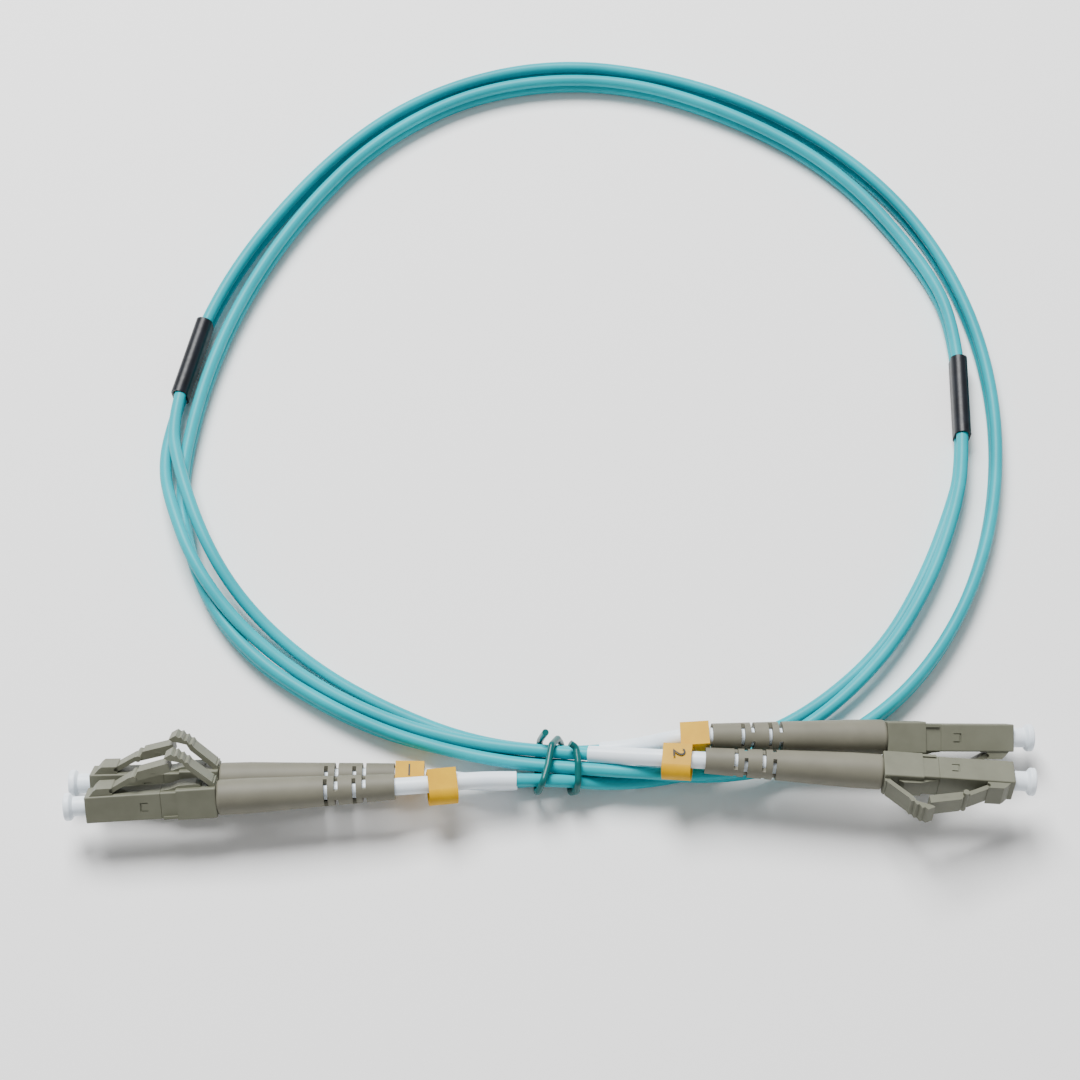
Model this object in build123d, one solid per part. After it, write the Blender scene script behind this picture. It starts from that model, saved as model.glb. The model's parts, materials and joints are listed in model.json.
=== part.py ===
from build123d import *
import math
import os

# A duplex fibre optic patch cord: one zip cord splits at each end into two strands,
# and each strand ends in a simplex LC plug. Millimetres, +Z up, floor at z = 0.

# ---- cord ----
STRAND_R = 1.05          # jacket of one strand
ZIP_PITCH = 2.05         # between the two strands of the zip cord, one above the other
STACK = 1.07             # half the pitch of two separate strands, one above the other
LAYOUT_X = 2.493         # centre of the laid-out cord's bounding box
LAYOUT_Y = 22.828
ARC_SHARE = 0.45         # share of the shorter run that an arc takes up

# ---- plug, in its own frame: x forward, z towards the latch, origin on the fibre axis ----
FRONT_X = 21.0           # front face of the plug
SEAM_X = 8.8             # joint between front housing and rear body
SEAM_CHAMFER = 0.12      # makes that joint show as a fine groove
STEP_X = 6.3             # front edge of the thicker rear section
BODY = 4.5               # front housing is this square
REAR_H = 5.2
REAR_W = 4.9
CHAMBER_R = 1.65         # bore that holds the spring and the ferrule flange
RECESS_R = 1.75          # round recess about the ferrule, open at the front face
RECESS_X = 17.2          # floor of that recess
COLLAR_X = 16.05         # stop for the ferrule flange
COLLAR_R = 0.72
FERRULE_R = 0.625
FERRULE_TIP_X = 22.8
FERRULE_BACK_X = 14.6
FLANGE_R = 1.5
FLANGE_BACK_X = 14.0
FLANGE_TAIL_X = 11.2
FLANGE_TAIL_R = 0.85
POST_R = 1.2
POST_BACK_X = -5.0
POST_SEAT_X = 10.6       # spring seat
POST_SEAT_R = 1.6
FIBRE_R = 0.45
CRIMP_R = 1.55
CRIMP_BACK_X = -7.0
SPRING_R = 1.2
SPRING_WIRE_R = 0.15
SPRING_TURNS = 4
CAP_STEM_R = 1.6
CAP_FLANGE_R = 2.25
LATCH_PIVOT = (16.5, 2.95)
LATCH_BLOCK_FRONT_X = 19.5
LATCH_BLOCK_TOP = 3.45
LATCH_ROOT_R = 0.37
TRIGGER_PIVOT = (0.8, 3.2)
TRIGGER_ROOT_R = 0.4
PIVOT_GAP = 0.03
ARM_HALF_WIDTH = 1.7

POST_SHOULDER_X = 8.8
CAP_RIM_X = 23.5
CAP_END_X = 24.6
LEDGE_Y = 2.35
MARK_DEPTH = 0.2
MARK_BARS = [(-0.75, 0.75, 11.9, 12.2), (0.55, 0.75, 10.9, 12.2), (-0.75, -0.6, 10.9, 12.2)]

# ---- boot, sleeve and marker ring ----
BOOT_END_X = -28.6
BOOT_R = 2.85
BOOT_END_R = 2.1
BOOT_BORE_R = 1.62
BOOT_SLOTS = (4.6, 6.2, 9.1, 10.8)    # distances from the boot's thin end
SLOT_WIDTH = 0.62
SLOT_BRIDGE = 0.75                    # half height of the bridges left beside a slot
SLEEVE_R = 1.4
SLEEVE_BORE_R = 1.07
SLEEVE_FRONT_X = -9.5
SLEEVE_START_SHARE = 0.54             # how far along the strand's third-last run the sleeve starts
STRAND_END_X = -24.0                  # the strand's free route ends here, inside the boot
JACKET_END_X = -5.1
RING_LENGTH = 4.7
RING_WALL = 0.45
RING_WIDTH = 3.9
RING_HEIGHT = 5.5
RING_HANG = 0.8          # a ring hangs this far off the sleeve's middle

# ---- heat-shrink sleeves and twist tie ----
SHRINK_LENGTH = 15.5
SHRINK_WIDTH = 2.95
SHRINK_HEIGHT = 4.95
TIE_R = 0.55
TIE_BEND = 0.9
LEAN_HEIGHT = 10         # how far above the zip cord's route its lean is measured
FIT_GAP = 0.01           # between a sleeve and what it grips
BORE_OVERRUN = 0.5       # a bore starts this far outside the piece it cuts
ZIP_RUN = 14.6           # straight run of the zip cord out of a heat-shrink sleeve
SPLIT_RUN = 12.9         # straight run of each strand out of it
STRAND_LEAD_X = -33.0    # where a strand lines up with its plug

# Plugs: front-face centre, boot-end centre and roll about the axis, in layout millimetres.
PLUGS = {
    "left_front": ((-73.1, -50.9, 7.8), (-23.5, -47.7, 7.8), -50),
    "left_back": ((-72.9, -45.7, 3.7), (-23.8, -44.6, 4.0), -50),
    "right_front": ((76.3, -47.2, 9.4), (26.7, -43.9, 9.75), -69),
    "right_back": ((77.1, -38.4, 5.3), (28.0, -39.4, 8.75), -112),
}

# Each boot's turn on its plug.
BOOT_TURNS = {"left_front": 0, "left_back": 0, "right_front": 90, "right_back": 90}

# Marker rings: place of the middle along the plug's axis, and roll in degrees.
RINGS = {
    "left_front": (-36.2, 90),
    "left_back": (-31.05, 0),
    "right_front": (-33.0, -90),
    "right_back": (-31.3, 0),
}

# Splits: where the zip cord ends inside a heat-shrink sleeve, and the way the strands leave.
SPLITS = {
    "left": ((-62.6, 34.4, 2.9), (-0.229, -0.973, 0)),
    "right": ((75.1, 26.7, 2.55), (-0.035, -1.0, 0)),
}

# Zip cord: angle about the loop's middle, distance from it, height of the cord's centre, and
# the angle its upper strand leans outward from upright.
LOOP_CENTRE = (8.0, 27.0)
ZIP_ROUTE = [
    (135, 70.1, 2.1, 0), (115, 72.7, 2.1, 0), (95, 73.8, 2.1, 0),
    (75, 72.2, 2.1, 0), (55, 72.0, 2.1, 0), (35, 72.8, 2.1, 0), (15, 73.1, 2.1, 0),
    (-5, 74.1, 2.1, 0), (-25, 76.3, 2.1, 0), (-43, 78.3, 2.1, 0), (-58, 77.9, 2.1, 0),
    (-72, 75.9, 4.3, 0), (-88, 71.1, 5.5, 28), (-105, 70.6, 2.5, 26), (-123, 73.4, 2.1, 0),
    (-143, 77.5, 2.1, 0), (-162, 75.3, 2.1, 0), (-180, 69.2, 2.1, 0), (-198, 66.0, 2.1, 0),
    (-217, 65.6, 2.1, 0), (-236, 68.2, 2.1, 0), (-255, 70.4, 2.1, 0), (-275, 70.2, 2.1, 0),
    (-295, 68.2, 2.1, 0), (-315, 68.6, 2.1, 0), (-335, 68.6, 2.1, 0),
]

# Strands: hand-laid points from the split to the stretch that enters each plug.
STRAND_ROUTES = {
    "a": [(-62.9, 10.5, 5.7), (-57.2, -4.0, 5.7), (-49.5, -15.0, 3.4), (-38.3, -24.6, 1.4),
          (-25.5, -32.0, 1.05), (-11.0, -38.1, 1.8), (4.0, -40.3, 2.8), (15.0, -39.9, 4.4)],
    "b": [(-66.2, 12.5, 3.2), (-63.8, 3.9, 5.0), (-59.1, -7.5, 5.9), (-50.7, -18.4, 4.2),
          (-39.2, -27.3, 2.5), (-25.5, -34.4, 2.3), (-11.4, -38.9, 3.7), (2.9, -40.9, 5.0),
          (12.3, -42.0, 6.8)],
    "c": [(71.4, 4.0, 1.05), (66.0, -8.5, 1.05), (58.2, -21.2, 1.05), (46.2, -31.9, 1.05),
          (34.3, -37.8, 1.05), (23.1, -41.4, 1.05), (12.5, -43.6, 1.2), (3.0, -44.7, 2.6),
          (-9.6, -45.5, 2.9)],
    "d": [(72.2, 3.6, 3.2), (67.2, -9.0, 2.85), (59.2, -22.0, 2.9), (47.6, -33.5, 2.4),
          (35.3, -40.1, 1.05), (23.9, -43.7, 1.05), (13.0, -45.6, 2.3), (2.8, -45.9, 5.8),
          (-9.6, -46.1, 6.6)],
}

# Twist tie: hand-laid corners of the two turns about the bundle.
TIE_ROUTE = [
    (0.9, -38.6, 8.4), (0.4, -38.1, 5.0), (0.0, -37.7, 2.0), (-0.2, -39.1, 0.58),
    (-0.5, -45.2, 0.6), (-0.5, -46.8, 2.4), (-0.3, -47.9, 5.9), (0.5, -46.9, 8.0),
    (1.3, -43.9, 7.6), (1.9, -40.3, 7.1), (2.9, -38.3, 4.6), (3.4, -38.1, 2.0),
    (3.9, -39.6, 0.58), (4.9, -45.2, 0.58), (5.1, -46.8, 2.2), (5.9, -47.6, 5.0),
    (6.2, -46.7, 7.1), (6.2, -43.6, 7.75), (5.9, -40.9, 7.6), (4.9, -40.4, 8.2),
]

STRAND_ENDS = {
    "a": ("left", STACK, "right_back"),
    "b": ("left", -STACK, "right_front"),
    "c": ("right", -STACK, "left_back"),
    "d": ("right", STACK, "left_front"),
}


def rod(back_x, front_x, radius):
    """A rod along the plug's axis."""
    return Solid.make_cylinder(radius, front_x - back_x, Plane(origin=(back_x, 0, 0), z_dir=(1, 0, 0)))


def cone(back_x, front_x, back_radius, front_radius):
    return Solid.make_cone(back_radius, front_radius, front_x - back_x,
                           Plane(origin=(back_x, 0, 0), z_dir=(1, 0, 0)))


def pin(pivot, radius, half_width):
    """A pin across the plug, through the point (x, z)."""
    return Pos(pivot[0], 0, pivot[1]) * Rot(90, 0, 0) * Cylinder(radius, 2 * half_width)


def block(back_x, front_x, half_width, low_z, high_z):
    size = (front_x - back_x, 2 * half_width, high_z - low_z)
    return Pos((back_x + front_x) / 2, 0, (low_z + high_z) / 2) * Box(*size)


def plate(outline, half_width):
    """An outline of (x, z) points given a width across the plug."""
    face = Plane.XZ * make_face(Polyline(*outline, close=True))
    return extrude(face, amount=half_width, both=True)


def front_housing():
    shell = block(SEAM_X, FRONT_X, BODY / 2, -BODY / 2, BODY / 2)
    shell = fillet(shell.edges().filter_by(Axis.X), 0.25)
    shell = fillet(shell.faces().sort_by(Axis.X)[-1].edges(), 0.2)
    shell = chamfer(shell.faces().sort_by(Axis.X)[0].edges(), SEAM_CHAMFER)
    latch_base = plate([(LATCH_PIVOT[0], 2.0), (LATCH_BLOCK_FRONT_X + 0.9, 2.0),
                        (LATCH_BLOCK_FRONT_X, LATCH_BLOCK_TOP - 0.4),
                        (LATCH_BLOCK_FRONT_X - 0.5, LATCH_BLOCK_TOP),
                        (LATCH_PIVOT[0], LATCH_BLOCK_TOP)], 2.0)
    shell += latch_base
    shell -= pin(LATCH_PIVOT, LATCH_ROOT_R + PIVOT_GAP, 2.1)
    shell -= rod(RECESS_X, FRONT_X + 1, RECESS_R)
    shell -= rod(COLLAR_X - 1, FRONT_X, COLLAR_R)
    shell -= rod(SEAM_X - 1, COLLAR_X, CHAMBER_R)
    for side in (-1, 1):
        for low_z, high_z, back_x, front_x in MARK_BARS:
            bar = block(back_x, front_x, MARK_DEPTH / 2, low_z, high_z)
            shell -= Pos(0, side * (BODY - MARK_DEPTH) / 2, 0) * bar
    return shell


def rear_body():
    thick = block(0, STEP_X, REAR_W / 2, -REAR_H / 2, REAR_H / 2)
    thick = fillet(thick.edges().filter_by(Axis.X), 0.3)
    thick = fillet(thick.faces().sort_by(Axis.X)[0].edges(), 0.2)
    neck = block(STEP_X, SEAM_X, BODY / 2, -BODY / 2, BODY / 2)
    neck = fillet(neck.edges().filter_by(Axis.X), 0.25)
    spine = plate([(2.4, 2.0), (SEAM_X, 2.0), (SEAM_X, 2.35), (7.4, 2.5), (5.9, 3.0), (3.2, 3.1),
                   (2.4, 2.8)], 1.5)
    cradle = block(0.1, 0.95, ARM_HALF_WIDTH, 2.0, TRIGGER_PIVOT[1])
    body = thick + neck + spine + cradle
    for side in (-1, 1):
        body += Pos(0, side * LEDGE_Y, 0) * block(STEP_X, SEAM_X - 0.3, 0.2, -2.2, -1.75)
    body -= pin(TRIGGER_PIVOT, TRIGGER_ROOT_R + PIVOT_GAP, REAR_W / 2)
    body -= rod(-1, POST_SHOULDER_X, POST_R)
    body -= rod(POST_SHOULDER_X, SEAM_X + 1, POST_SEAT_R)
    return body


def latch_arm():
    arm = plate([(16.3, 2.6), (13.4, 4.15), (12.3, 4.3), (7.0, 5.45), (7.15, 6.95), (12.2, 5.8),
                 (12.5, 5.2), (13.7, 4.85), (16.6, 3.3)], 1.5)
    arm += pin(LATCH_PIVOT, LATCH_ROOT_R, 1.5)
    arm += pin((12.9, 4.75), 0.5, 2.1)
    gate = block(9.2, 10.1, 1.53, 5.45, 5.6)
    return arm + gate


def trigger():
    outline = [(0.95, 2.83), (4.4, 5.95), (4.9, 6.9), (7.3, 7.55), (7.75, 7.9), (6.6, 8.5),
               (6.15, 8.1), (5.7, 8.25), (5.3, 7.55), (4.85, 7.65), (4.5, 6.95), (4.05, 7.0),
               (3.7, 6.35), (0.45, 3.4)]
    lever = plate(outline, ARM_HALF_WIDTH)
    hollow = plate([(1.6, 3.9), (1.15, 4.5), (3.75, 7.0), (4.2, 6.25)], 1.0)
    lever -= Pos(-0.28, 0, 0.3) * hollow
    return lever + pin(TRIGGER_PIVOT, TRIGGER_ROOT_R, ARM_HALF_WIDTH)


def ferrule():
    body = rod(FERRULE_BACK_X, FERRULE_TIP_X - 0.2, FERRULE_R)
    return body + cone(FERRULE_TIP_X - 0.2, FERRULE_TIP_X, FERRULE_R, FERRULE_R - 0.2)


def ferrule_flange():
    body = rod(FLANGE_BACK_X, COLLAR_X, FLANGE_R) + rod(FLANGE_TAIL_X, FLANGE_BACK_X, FLANGE_TAIL_R)
    body -= rod(FERRULE_BACK_X, COLLAR_X + 1, FERRULE_R)
    return body - rod(FLANGE_TAIL_X - 1, FERRULE_BACK_X - 0.4, FIBRE_R + 0.06)


def back_post():
    body = rod(POST_BACK_X, POST_SHOULDER_X, POST_R) + rod(POST_SHOULDER_X, POST_SEAT_X, POST_SEAT_R)
    body -= rod(POST_BACK_X - 1, POST_SEAT_X, FIBRE_R + 0.1)
    return body - rod(POST_SHOULDER_X + 0.4, POST_SEAT_X + 1, FLANGE_TAIL_R + 0.08)


def fibre_tail():
    return rod(JACKET_END_X, FLANGE_BACK_X - 1.2, FIBRE_R)


def crimp_ring():
    return rod(CRIMP_BACK_X, -0.4, CRIMP_R) - rod(CRIMP_BACK_X - 1, 1, POST_R + 0.02)


def spring():
    length = FLANGE_BACK_X - POST_SEAT_X - 2 * SPRING_WIRE_R
    path = Helix(length / SPRING_TURNS, length, SPRING_R)
    section = Plane(origin=path @ 0, z_dir=path % 0) * Circle(SPRING_WIRE_R)
    coil = sweep(section, path, is_frenet=True)
    return Plane(origin=(POST_SEAT_X + SPRING_WIRE_R, 0, 0), z_dir=(1, 0, 0)).location * coil


def dust_cap():
    stem = rod(RECESS_X + 0.3, CAP_RIM_X + 0.3, CAP_STEM_R)
    flare = cone(CAP_RIM_X - 0.35, CAP_RIM_X, CAP_STEM_R, CAP_FLANGE_R - 0.15)
    rim = rod(CAP_RIM_X, CAP_END_X, CAP_FLANGE_R)
    rim = fillet(rim.edges(), 0.3)
    bore = rod(RECESS_X, FERRULE_TIP_X + 0.4, FERRULE_R + 0.08)
    return stem + flare + rim - bore


def boot():
    shell = rod(-5.0, 0, BOOT_R) + cone(BOOT_END_X, -5.0, BOOT_END_R, BOOT_R)
    shell = fillet(shell.faces().sort_by(Axis.X)[-1].edges(), 0.5)
    shell -= rod(BOOT_END_X - 1, 1, BOOT_BORE_R)
    for number, distance in enumerate(BOOT_SLOTS):
        slot = block(0, SLOT_WIDTH, 4, SLOT_BRIDGE, 4) + block(0, SLOT_WIDTH, 4, -4, -SLOT_BRIDGE)
        shell -= Pos(BOOT_END_X + distance, 0, 0) * Rot(90 * (number % 2), 0, 0) * slot
    return shell


def marker_ring():
    """A tube of D section, flat side up, centred on the sleeve."""
    half = RING_WIDTH / 2
    low = RING_HEIGHT / 2 - half

    def section(inset):
        side = half - inset
        walls = Polyline((-side, -low), (-side, RING_HEIGHT / 2 - inset), (side, RING_HEIGHT / 2 - inset),
                         (side, -low))
        return make_face(walls + ThreePointArc((side, -low), (0, -low - side), (-side, -low)))

    tube = extrude(section(0) - section(RING_WALL), RING_LENGTH / 2, both=True)
    return Rot(0, 90, 0) * Rot(0, 0, 90) * tube


def rounded_path(points, radii=None):
    """Straight runs joined by tangent arcs, and the radius of each arc."""
    if radii is None:
        radii = []
        for before, here, after in zip(points, points[1:], points[2:]):
            run_in = here - before
            run_out = after - here
            turn = math.radians(run_in.get_angle(run_out))
            radii.append(ARC_SHARE * min(run_in.length, run_out.length) / math.tan(turn / 2))
    return FilletPolyline(*points, radius=radii), radii


def round_cord(path, radius, bore=0):
    section = Circle(radius) - Circle(bore) if bore else Circle(radius)
    return sweep(Plane(origin=path @ 0, z_dir=path % 0) * section, path)


def upright_section(path, distance, width, height):
    """An upright stadium across the path."""
    plane = Plane(origin=path @ distance, x_dir=Vector(0, 0, 1), z_dir=path % distance)
    return plane * SlotOverall(height, width)


def layout(point):
    return Vector(point[0] - LAYOUT_X, point[1] - LAYOUT_Y, point[2])


def plug_plane(name):
    front, boot_end, roll = PLUGS[name]
    forward = (layout(front) - layout(boot_end)).normalized()
    side = Vector(0, 0, 1).cross(forward).normalized()
    upright = forward.cross(side)
    turn = math.radians(roll)
    latch_way = upright * math.cos(turn) + side * math.sin(turn)
    return Plane(origin=layout(boot_end) - forward * BOOT_END_X, x_dir=forward, z_dir=latch_way)


def split_point(side, lift, run):
    centre, way = SPLITS[side]
    return layout(centre) + Vector(way).normalized() * run + Vector(0, 0, lift)


def zip_points():
    """The zip cord's route, and a point above each of its points that its upper strand leans to."""
    points = [split_point("left", 0, 0), split_point("left", 0, -ZIP_RUN)]
    above = [point + Vector(0, 0, LEAN_HEIGHT) for point in points]
    for angle, distance, height, lean in ZIP_ROUTE:
        turn = math.radians(angle)
        outward = Vector(math.cos(turn), math.sin(turn), 0)
        centre = layout((LOOP_CENTRE[0], LOOP_CENTRE[1], height)) + outward * distance
        points.append(centre)
        tilt = math.radians(lean)
        above.append(centre + (Vector(0, 0, math.cos(tilt)) + outward * math.sin(tilt)) * LEAN_HEIGHT)
    for point in (split_point("right", 0, -ZIP_RUN), split_point("right", 0, 0)):
        points.append(point)
        above.append(point + Vector(0, 0, LEAN_HEIGHT))
    return points, above


def strand_points(name):
    side, lift, plug = STRAND_ENDS[name]
    points = [split_point(side, lift, 0), split_point(side, lift, SPLIT_RUN)]
    points += [layout(point) for point in STRAND_ROUTES[name]]
    plane = plug_plane(plug)
    return points + [plane.origin + plane.x_dir * STRAND_LEAD_X,
                     plane.origin + plane.x_dir * STRAND_END_X]


def report_path(name, path, radii):
    print(f"{name}: {path.length:.1f} mm long, bend radii", " ".join(f"{r:.0f}" for r in radii))


def save(name, shape):
    shape.label = name
    export_step(shape, f"parts/{name}.step")


os.makedirs("parts", exist_ok=True)

# ---- zip cord ----
zip_route, zip_above = zip_points()
zip_path, zip_radii = rounded_path(zip_route)
lean_path, _ = rounded_path(zip_above)
report_path("zip_cord", zip_path, zip_radii)
zip_plane = Plane(origin=zip_path @ 0, x_dir=Vector(0, 0, 1), z_dir=zip_path % 0)
strands_of_zip = [Pos(side * ZIP_PITCH / 2, 0) * Circle(STRAND_R) for side in (-1, 1)]
figure_eight = strands_of_zip[0] + strands_of_zip[1]
zip_cord = sweep(zip_plane * figure_eight, zip_path, binormal=Wire(lean_path.edges()))
save("zip_cord", zip_cord)
print(f"zip_cord volume {zip_cord.volume:.0f} mm3, section times length "
      f"{figure_eight.area * zip_path.length:.0f} mm3")

# ---- plugs ----
plug_parts = {
    "dust_cap": dust_cap(),
    "ferrule": ferrule(),
    "ferrule_flange": ferrule_flange(),
    "spring": spring(),
    "front_housing": front_housing(),
    "latch_arm": latch_arm(),
    "rear_body": rear_body(),
    "trigger": trigger(),
}
plug_boot = boot()
shared_parts = {"back_posts": back_post(), "crimp_rings": crimp_ring(), "fibre_tails": fibre_tail()}
for plug in PLUGS:
    place = plug_plane(plug).location
    for part_name, shape in plug_parts.items():
        save(f"{plug}_{part_name}", place * shape)
    save(f"{plug}_boot", place * Rot(BOOT_TURNS[plug], 0, 0) * plug_boot)
for part_name, shape in shared_parts.items():
    save(part_name, Compound(children=[plug_plane(plug).location * shape for plug in PLUGS]))

# ---- strands, their sleeves and the marker rings ----
for name, (side, lift, plug) in STRAND_ENDS.items():
    points = strand_points(name)
    path, radii = rounded_path(points)
    report_path(f"strand_{name}", path, radii)
    plane = plug_plane(plug)
    inner_end = plane.origin + plane.x_dir * JACKET_END_X
    strand = round_cord(path, STRAND_R)
    strand += Solid.make_cylinder(STRAND_R, (inner_end - points[-1]).length,
                                  Plane(origin=points[-1], z_dir=plane.x_dir))
    strand -= plane.location * rod(CRIMP_BACK_X - BORE_OVERRUN, 0, CRIMP_R + FIT_GAP)
    save(f"strand_{name}", strand)
    print(f"strand_{name} volume {strand.volume:.0f} mm3, section times length "
          f"{math.pi * STRAND_R ** 2 * (path.length + (inner_end - points[-1]).length):.0f} mm3")
    sleeve_start = points[-4] + (points[-3] - points[-4]) * SLEEVE_START_SHARE
    sleeve_points = [sleeve_start] + points[-3:]
    sleeve_path, _ = rounded_path(sleeve_points, radii[-2:])
    sleeve = round_cord(sleeve_path, SLEEVE_R, SLEEVE_BORE_R)
    sleeve += Solid.make_cylinder(SLEEVE_R, SLEEVE_FRONT_X - STRAND_END_X,
                                  Plane(origin=points[-1], z_dir=plane.x_dir))
    sleeve -= plane.location * rod(STRAND_END_X - BORE_OVERRUN, 0, SLEEVE_BORE_R)
    save(f"{plug}_sleeve", sleeve)
    ring_distance, ring_roll = RINGS[plug]
    along = sleeve_path.length + ring_distance - STRAND_END_X
    ring_way = sleeve_path.tangent_at(along / sleeve_path.length)
    ring_plane = Plane(origin=sleeve_path.position_at(along / sleeve_path.length),
                       x_dir=ring_way, z_dir=Vector(0, 0, 1) - ring_way * ring_way.Z)
    ring = ring_plane.location * Rot(ring_roll, 0, 0) * Pos(0, 0, -RING_HANG) * marker_ring()
    save(f"{plug}_marker_ring", ring)
    print(f"{plug} ring slides along", tuple(round(value, 4) for value in ring_way))

# ---- heat-shrink sleeves ----
for side in SPLITS:
    path = Line(split_point(side, 0, -SHRINK_LENGTH / 2), split_point(side, 0, SHRINK_LENGTH / 2))
    outside = upright_section(path, 0, SHRINK_WIDTH, SHRINK_HEIGHT)
    inside = upright_section(path, 0, 2 * (STRAND_R + FIT_GAP), 2 * (STACK + STRAND_R + FIT_GAP))
    tube = extrude(outside - inside, amount=SHRINK_LENGTH, dir=path % 0)
    save(f"heat_shrink_{side}", tube)

# ---- twist tie ----
tie_path = FilletPolyline(*[layout(point) for point in TIE_ROUTE], radius=TIE_BEND)
save("twist_tie", round_cord(tie_path, TIE_R))

for plug in PLUGS:
    plane = plug_plane(plug)
    print(plug, "origin", tuple(round(value, 3) for value in plane.origin),
          "forward", tuple(round(value, 4) for value in plane.x_dir),
          "across", tuple(round(value, 4) for value in plane.y_dir),
          "latch", tuple(round(value, 4) for value in plane.z_dir))
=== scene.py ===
import json
import math

import bpy
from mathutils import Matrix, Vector


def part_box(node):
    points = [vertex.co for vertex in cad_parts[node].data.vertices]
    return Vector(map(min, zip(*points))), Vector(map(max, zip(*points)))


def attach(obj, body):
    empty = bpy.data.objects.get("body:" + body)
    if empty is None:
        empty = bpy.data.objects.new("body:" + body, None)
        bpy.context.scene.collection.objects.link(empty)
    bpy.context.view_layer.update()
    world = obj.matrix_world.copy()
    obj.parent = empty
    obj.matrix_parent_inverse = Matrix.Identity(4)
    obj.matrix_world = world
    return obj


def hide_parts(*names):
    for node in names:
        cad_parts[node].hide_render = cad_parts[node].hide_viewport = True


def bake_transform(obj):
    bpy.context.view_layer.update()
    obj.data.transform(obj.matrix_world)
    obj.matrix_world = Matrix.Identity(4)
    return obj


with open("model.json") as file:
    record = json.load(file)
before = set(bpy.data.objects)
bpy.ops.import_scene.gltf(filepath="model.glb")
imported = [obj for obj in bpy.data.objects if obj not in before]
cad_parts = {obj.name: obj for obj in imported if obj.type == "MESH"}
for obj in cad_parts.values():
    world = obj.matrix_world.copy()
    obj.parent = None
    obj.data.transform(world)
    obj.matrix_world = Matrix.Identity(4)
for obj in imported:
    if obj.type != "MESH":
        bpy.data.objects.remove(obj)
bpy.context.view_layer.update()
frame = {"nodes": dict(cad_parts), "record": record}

MM = 0.001
SHIFT_X = 2.493          # from the layout's millimetres to the row frame
SHIFT_Y = 22.828

# ---- cord, as in the part ----
STRAND_R = 1.05
ZIP_PITCH = 2.05
STACK = 1.07
ZIP_RUN = 14.6
SPLIT_RUN = 12.9
LOOP_CENTRE = (8.0, 27.0)
LEAN_HEIGHT = 10         # how far above the zip cord's route its lean is measured
LEAD_BEHIND_BOOT = 4.4   # where a strand lines up with its boot, behind the boot's thin end
END_IN_BOOT = 4.6
WEB_ANGLE = 8            # degrees of each strand of the zip cord that the web takes
STRAND_STEPS = 20        # corners round each strand of the zip cord

SPLINE_STEPS = 16        # steps between two control points of a route's spline
ROUND_STEPS = 8          # fineness of a single strand's round section

# ---- digits on the marker rings ----
DIGIT_SIZE = 2.9
DIGIT_THICKNESS = 0.02
DIGIT_LIFT = 0.01
DIGITS = {               # text, turn in degrees, shift in Y from the ring's middle
    "left_back": ("1", 0, 0.3),
    "right_front": ("2", -90, 1.1),
}

# ---- floor, light and camera, in metres and watts ----
FLOOR_HALF = 3.0
KEY_PLACE = (-0.2, 0.55, 0.85)
KEY_SIZE = 0.5
KEY_POWER = 25
FILL_PLACE = (0.5, -0.7, 0.8)
FILL_SIZE = 0.8
FILL_POWER = 1
WORLD_STRENGTH = 0.33
CAMERA_TILT = 65         # degrees below the horizontal
CAMERA_DISTANCE = 0.371
CAMERA_LENS = 70.8       # focal length and sensor in millimetres
CAMERA_SENSOR = 36
CAMERA_CLIP = 0.01

# ---- materials ----
ROUGHNESS_SPREAD = 0.06
BUMP_STRENGTH = 0.5
RAMP_ENDS = (0.35, 0.65)

SPLITS = {
    "left": ((-62.6, 34.4, 2.9), (-0.229, -0.973, 0)),
    "right": ((75.1, 26.7, 2.55), (-0.035, -1.0, 0)),
}
ZIP_ROUTE = [
    (135, 70.1, 2.1, 0), (115, 72.7, 2.1, 0), (95, 73.8, 2.1, 0),
    (75, 72.2, 2.1, 0), (55, 72.0, 2.1, 0), (35, 72.8, 2.1, 0), (15, 73.1, 2.1, 0),
    (-5, 74.1, 2.1, 0), (-25, 76.3, 2.1, 0), (-43, 78.3, 2.1, 0), (-58, 77.9, 2.1, 0),
    (-72, 75.9, 4.3, 0), (-88, 71.1, 5.5, 28), (-105, 70.6, 2.5, 26), (-123, 73.4, 2.1, 0),
    (-143, 77.5, 2.1, 0), (-162, 75.3, 2.1, 0), (-180, 69.2, 2.1, 0), (-198, 66.0, 2.1, 0),
    (-217, 65.6, 2.1, 0), (-236, 68.2, 2.1, 0), (-255, 70.4, 2.1, 0), (-275, 70.2, 2.1, 0),
    (-295, 68.2, 2.1, 0), (-315, 68.6, 2.1, 0), (-335, 68.6, 2.1, 0),
]
STRAND_ROUTES = {
    "a": [(-62.9, 10.5, 5.7), (-57.2, -4.0, 5.7), (-49.5, -15.0, 3.4), (-38.3, -24.6, 1.4),
          (-25.5, -32.0, 1.05), (-11.0, -38.1, 1.8), (4.0, -40.3, 2.8), (15.0, -39.9, 4.4)],
    "b": [(-66.2, 12.5, 3.2), (-63.8, 3.9, 5.0), (-59.1, -7.5, 5.9), (-50.7, -18.4, 4.2),
          (-39.2, -27.3, 2.5), (-25.5, -34.4, 2.3), (-11.4, -38.9, 3.7), (2.9, -40.9, 5.0),
          (12.3, -42.0, 6.8)],
    "c": [(71.4, 4.0, 1.05), (66.0, -8.5, 1.05), (58.2, -21.2, 1.05), (46.2, -31.9, 1.05),
          (34.3, -37.8, 1.05), (23.1, -41.4, 1.05), (12.5, -43.6, 1.2), (3.0, -44.7, 2.6),
          (-9.6, -45.5, 2.9)],
    "d": [(72.2, 3.6, 3.2), (67.2, -9.0, 2.85), (59.2, -22.0, 2.9), (47.6, -33.5, 2.4),
          (35.3, -40.1, 1.05), (23.9, -43.7, 1.05), (13.0, -45.6, 2.3), (2.8, -45.9, 5.8),
          (-9.6, -46.1, 6.6)],
}
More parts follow.
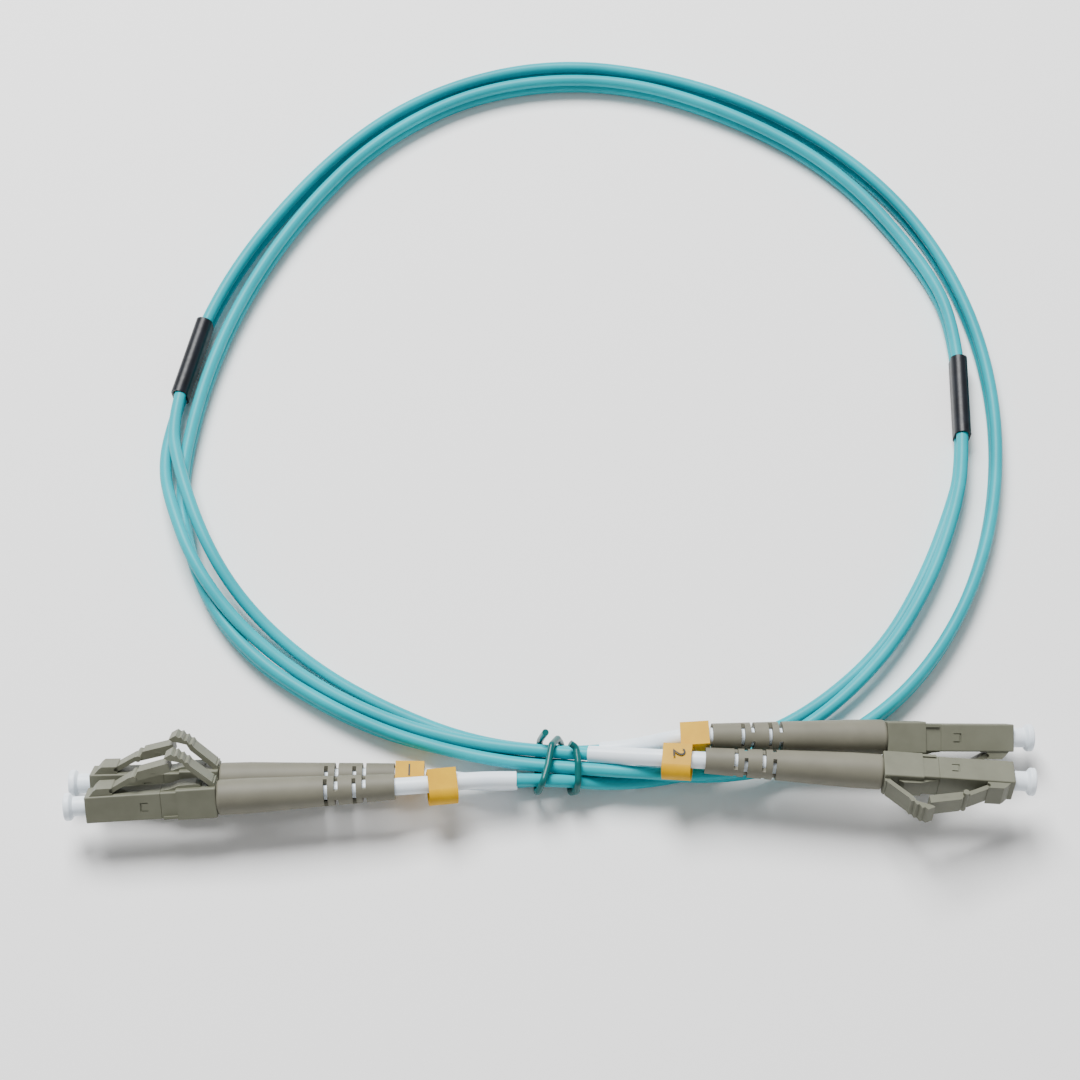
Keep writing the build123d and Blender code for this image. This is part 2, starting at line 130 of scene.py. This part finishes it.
BOOT_AXES = {
    "left_front": ((-23.5, -47.7, 7.8), (-73.1, -50.9, 7.8)),
    "left_back": ((-23.8, -44.6, 4.0), (-72.9, -45.7, 3.7)),
    "right_front": ((26.7, -43.9, 9.75), (76.3, -47.2, 9.4)),
    "right_back": ((28.0, -39.4, 8.75), (77.1, -38.4, 5.3)),
}
STRANDS = {
    "a": ("left", STACK, "right_back", 0.1435),
    "b": ("left", -STACK, "right_front", 0.1458),
    "c": ("right", -STACK, "left_back", 0.1446),
    "d": ("right", STACK, "left_front", 0.1471),
}


def layout(point):
    """A layout point, in millimetres, in the row frame's metres."""
    return Vector(((point[0] - SHIFT_X) * MM, (point[1] - SHIFT_Y) * MM, point[2] * MM))


def split_point(side, lift, run):
    centre, way = SPLITS[side]
    return layout(centre) + Vector(way).normalized() * run * MM + Vector((0, 0, lift * MM))


# ---- materials ----
def linear(red, green, blue):
    """A colour given as 0 to 255, as Blender's linear values."""
    def channel(value):
        value /= 255
        return value / 12.92 if value <= 0.04045 else ((value + 0.055) / 1.055) ** 2.4
    return (channel(red), channel(green), channel(blue), 1)


def surface(name, dark, light, roughness, patch_scale, grain_scale, grain_depth, **sockets):
    """A moulded or extruded plastic: soft patches of two near colours and a fine grain."""
    material = bpy.data.materials.new(name)
    material.use_nodes = True
    nodes = material.node_tree.nodes
    link = material.node_tree.links.new
    shader = nodes["Principled BSDF"]
    coordinates = nodes.new("ShaderNodeTexCoord")
    patches = nodes.new("ShaderNodeTexNoise")
    patches.inputs["Scale"].default_value = patch_scale
    patches.inputs["Detail"].default_value = 4
    link(coordinates.outputs["Object"], patches.inputs["Vector"])
    ramp = nodes.new("ShaderNodeValToRGB")
    for element, position, colour in zip(ramp.color_ramp.elements, RAMP_ENDS, (dark, light)):
        element.position = position
        element.color = linear(*colour)
    link(patches.outputs["Fac"], ramp.inputs["Fac"])
    link(ramp.outputs["Color"], shader.inputs["Base Color"])
    grain = nodes.new("ShaderNodeTexNoise")
    grain.inputs["Scale"].default_value = grain_scale
    grain.inputs["Detail"].default_value = 3
    link(coordinates.outputs["Object"], grain.inputs["Vector"])
    rough = nodes.new("ShaderNodeMapRange")
    rough.inputs["To Min"].default_value = roughness - ROUGHNESS_SPREAD
    rough.inputs["To Max"].default_value = roughness + ROUGHNESS_SPREAD
    link(grain.outputs["Fac"], rough.inputs["Value"])
    link(rough.outputs["Result"], shader.inputs["Roughness"])
    bump = nodes.new("ShaderNodeBump")
    bump.inputs["Strength"].default_value = BUMP_STRENGTH
    bump.inputs["Distance"].default_value = grain_depth
    link(grain.outputs["Fac"], bump.inputs["Height"])
    link(bump.outputs["Normal"], shader.inputs["Normal"])
    for socket, value in sockets.items():
        shader.inputs[socket.replace("_", " ")].default_value = value
    return material


AQUA = surface("aqua_jacket", (0, 156, 168), (0, 172, 184), 0.4, 60, 2500, 6e-6,
               Specular_IOR_Level=0.2)
BEIGE = surface("beige_housing", (103, 104, 89), (109, 110, 95), 0.52, 300, 6000, 8e-6,
                Specular_IOR_Level=0.35)
BOOT = surface("beige_boot", (107, 105, 92), (114, 112, 98), 0.58, 200, 5000, 1e-5,
               Specular_IOR_Level=0.35)
WHITE = surface("white_cap", (234, 244, 253), (240, 248, 255), 0.42, 300, 4000, 4e-6)
SLEEVE = surface("white_sleeve", (230, 242, 252), (238, 247, 254), 0.4, 250, 4000, 5e-6)
YELLOW = surface("yellow_ring", (204, 154, 0), (214, 166, 0), 0.42, 300, 3500, 5e-6,
                 Specular_IOR_Level=0.2)
BLACK = surface("black_shrink", (9, 13, 20), (17, 22, 31), 0.42, 400, 1100, 6e-5,
                Specular_IOR_Level=0.35)
GREEN = surface("green_tie", (0, 84, 84), (0, 96, 96), 0.3, 200, 2500, 5e-6,
                Specular_IOR_Level=0.3)
STEEL = surface("steel", (150, 150, 152), (170, 170, 172), 0.3, 400, 5000, 4e-6, Metallic=1.0)
CERAMIC = surface("ceramic", (236, 236, 230), (242, 242, 238), 0.15, 300, 4000, 1e-6)
BUFFER = surface("white_buffer", (225, 226, 228), (235, 236, 238), 0.4, 300, 4000, 3e-6)
INK = surface("black_ink", (14, 14, 12), (24, 23, 20), 0.5, 900, 6000, 2e-6)

MATERIAL_OF_SLOT = {
    "aqua_jacket": AQUA,
    "beige_housing": BEIGE,
    "beige_boot": BOOT,
    "white_cap": WHITE,
    "white_sleeve": SLEEVE,
    "yellow_ring": YELLOW,
    "black_shrink": BLACK,
    "green_tie": GREEN,
    "steel": STEEL,
    "ceramic": CERAMIC,
    "white_buffer": BUFFER,
}
for subpart in frame["record"]["subparts"]:
    mesh = frame["nodes"][subpart["node"]].data
    mesh.materials.clear()
    mesh.materials.append(MATERIAL_OF_SLOT[subpart["material_slot"]])


# ---- cords ----
def route_curve(name, points, radius=0):
    """A smooth open spline with the route's points as its control points."""
    curve = bpy.data.curves.new(name, "CURVE")
    curve.dimensions = "3D"
    curve.resolution_u = SPLINE_STEPS
    curve.bevel_depth = radius
    curve.bevel_resolution = ROUND_STEPS
    curve.use_fill_caps = radius > 0
    spline = curve.splines.new("NURBS")
    spline.points.add(len(points) - 1)
    for control, point in zip(spline.points, points):
        control.co = (*point, 1)
    spline.order_u = 3
    spline.use_endpoint_u = True
    piece = bpy.data.objects.new(name, curve)
    bpy.context.scene.collection.objects.link(piece)
    return piece


def line_of(points):
    """The points of the route's own smooth spline."""
    guide = route_curve("guide", points)
    bpy.context.view_layer.update()
    depsgraph = bpy.context.evaluated_depsgraph_get()
    mesh = bpy.data.meshes.new_from_object(guide.evaluated_get(depsgraph))
    line = [vertex.co.copy() for vertex in mesh.vertices]
    bpy.data.objects.remove(guide)
    return line


def zip_points():
    """The zip cord's route, and a point that its upper strand leans to from each of its points."""
    points = [split_point("left", 0, 0), split_point("left", 0, -ZIP_RUN)]
    ups = [Vector((0, 0, 1)), Vector((0, 0, 1))]
    for angle, distance, height, lean in ZIP_ROUTE:
        turn = math.radians(angle)
        tilt = math.radians(lean)
        outward = Vector((math.cos(turn), math.sin(turn), 0))
        points.append(layout((*LOOP_CENTRE, height)) + outward * distance * MM)
        ups.append(Vector((0, 0, math.cos(tilt))) + outward * math.sin(tilt))
    points += [split_point("right", 0, -ZIP_RUN), split_point("right", 0, 0)]
    ups += [Vector((0, 0, 1)), Vector((0, 0, 1))]
    return points, [point + up * LEAN_HEIGHT * MM for point, up in zip(points, ups)]


def figure_eight():
    """Points (across, up) round the zip cord's section: two strands and the web between them."""
    strand_r = STRAND_R * MM
    half_pitch = ZIP_PITCH / 2 * MM
    outline = []
    for side in (1, -1):
        for step in range(STRAND_STEPS + 1):
            turn = (360 - 2 * WEB_ANGLE) * step / STRAND_STEPS
            angle = math.radians(-90 + WEB_ANGLE + turn)
            outline.append((side * math.cos(angle) * strand_r,
                            side * (half_pitch + math.sin(angle) * strand_r)))
    return outline


def zip_cord():
    points, above = zip_points()
    line = line_of(points)
    lean_line = line_of(above)
    outline = figure_eight()
    vertices = []
    for index, (here, up_here) in enumerate(zip(line, lean_line)):
        before = line[max(index - 1, 0)]
        after = line[min(index + 1, len(line) - 1)]
        along = (after - before).normalized()
        up = up_here - here
        up = (up - along * up.dot(along)).normalized()
        across = along.cross(up)
        vertices += [here + across * x + up * z for x, z in outline]
    count = len(outline)
    faces = []
    for ring in range(len(line) - 1):
        low = ring * count
        for step in range(count):
            after = (step + 1) % count
            faces.append((low + step, low + after, low + count + after, low + count + step))
    faces.append(tuple(reversed(range(count))))
    faces.append(tuple(range(len(vertices) - count, len(vertices))))
    mesh = bpy.data.meshes.new("zip_cord_look")
    mesh.from_pydata(vertices, [], faces)
    mesh.shade_smooth()
    mesh.materials.append(AQUA)
    piece = bpy.data.objects.new("zip_cord_look", mesh)
    bpy.context.scene.collection.objects.link(piece)
    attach(piece, "cord_and_plugs")
    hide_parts("zip_cord")


def strand(name):
    side, lift, plug, length = STRANDS[name]
    points = [split_point(side, lift, 0), split_point(side, lift, SPLIT_RUN)]
    points += [layout(point) for point in STRAND_ROUTES[name]]
    boot_end, front = (layout(point) for point in BOOT_AXES[plug])
    forward = (front - boot_end).normalized()
    points.append(boot_end - forward * LEAD_BEHIND_BOOT * MM)
    points.append(boot_end + forward * END_IN_BOOT * MM)
    piece = route_curve(f"strand_{name}_look", points, radius=STRAND_R * MM)
    piece.data.materials.append(AQUA)
    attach(piece, "cord_and_plugs")
    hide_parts(f"strand_{name}")


zip_cord()
for name in STRANDS:
    strand(name)


# ---- springs, copied from the part with their placement baked in ----
def ferrule_spring(plug):
    node = frame["nodes"][f"{plug}_spring"]
    piece = bpy.data.objects.new(f"{plug}_spring_look", node.data.copy())
    piece.matrix_world = node.matrix_world
    bpy.context.scene.collection.objects.link(piece)
    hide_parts(f"{plug}_spring")
    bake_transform(piece)


for plug in BOOT_AXES:
    ferrule_spring(plug)


# ---- digits on the marker rings ----
def digit(plug, text, turn, shift):
    """A printed digit on top of a marker ring, shifted in Y from the ring's middle."""
    low, high = (Vector(corner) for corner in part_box(f"{plug}_marker_ring"))
    font = bpy.data.curves.new(f"{plug}_digit", "FONT")
    font.body = text
    font.size = DIGIT_SIZE * MM
    font.extrude = DIGIT_THICKNESS * MM
    font.align_x = "CENTER"
    font.align_y = "CENTER"
    piece = bpy.data.objects.new(f"{plug}_digit", font)
    piece.data.materials.append(INK)
    bpy.context.scene.collection.objects.link(piece)
    middle = (low + high) / 2
    piece.location = (middle.x, middle.y + shift * MM, high.z + DIGIT_LIFT * MM)
    piece.rotation_euler = (0, 0, math.radians(turn))
    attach(piece, f"{plug}_ring_body")


for plug, (text, turn, shift) in DIGITS.items():
    digit(plug, text, turn, shift)


# ---- floor, light and camera ----
def floor():
    mesh = bpy.data.meshes.new("floor")
    half = FLOOR_HALF
    mesh.from_pydata([(-half, -half, 0), (half, -half, 0), (half, half, 0), (-half, half, 0)], [],
                     [(0, 1, 2, 3)])
    mesh.materials.append(surface("floor", (252, 252, 252), (254, 254, 254), 0.8, 3, 400, 1e-6))
    piece = bpy.data.objects.new("floor", mesh)
    bpy.context.scene.collection.objects.link(piece)


def area_light(name, place, size, power):
    """A square light that faces the middle of the scene."""
    light = bpy.data.lights.new(name, "AREA")
    light.size = size
    light.energy = power
    piece = bpy.data.objects.new(name, light)
    piece.location = place
    piece.rotation_euler = (-Vector(place)).to_track_quat("-Z", "Y").to_euler()
    bpy.context.scene.collection.objects.link(piece)


def camera():
    """Above and in front, looking down at the layout's origin."""
    tilt = math.radians(CAMERA_TILT)
    target = layout((0, 0, 0))
    back = Vector((0, -math.cos(tilt), math.sin(tilt)))
    data = bpy.data.cameras.new("camera")
    data.lens = CAMERA_LENS
    data.sensor_width = CAMERA_SENSOR
    data.clip_start = CAMERA_CLIP
    piece = bpy.data.objects.new("camera", data)
    piece.location = target + back * CAMERA_DISTANCE
    piece.rotation_euler = (math.radians(90) - tilt, 0, 0)
    bpy.context.scene.collection.objects.link(piece)
    bpy.context.scene.camera = piece


floor()
area_light("key", KEY_PLACE, KEY_SIZE, KEY_POWER)
area_light("fill", FILL_PLACE, FILL_SIZE, FILL_POWER)
world = bpy.data.worlds.new("studio")
world.use_nodes = True
world.node_tree.nodes["Background"].inputs["Color"].default_value = (1, 1, 1, 1)
world.node_tree.nodes["Background"].inputs["Strength"].default_value = WORLD_STRENGTH
bpy.context.scene.world = world
camera()
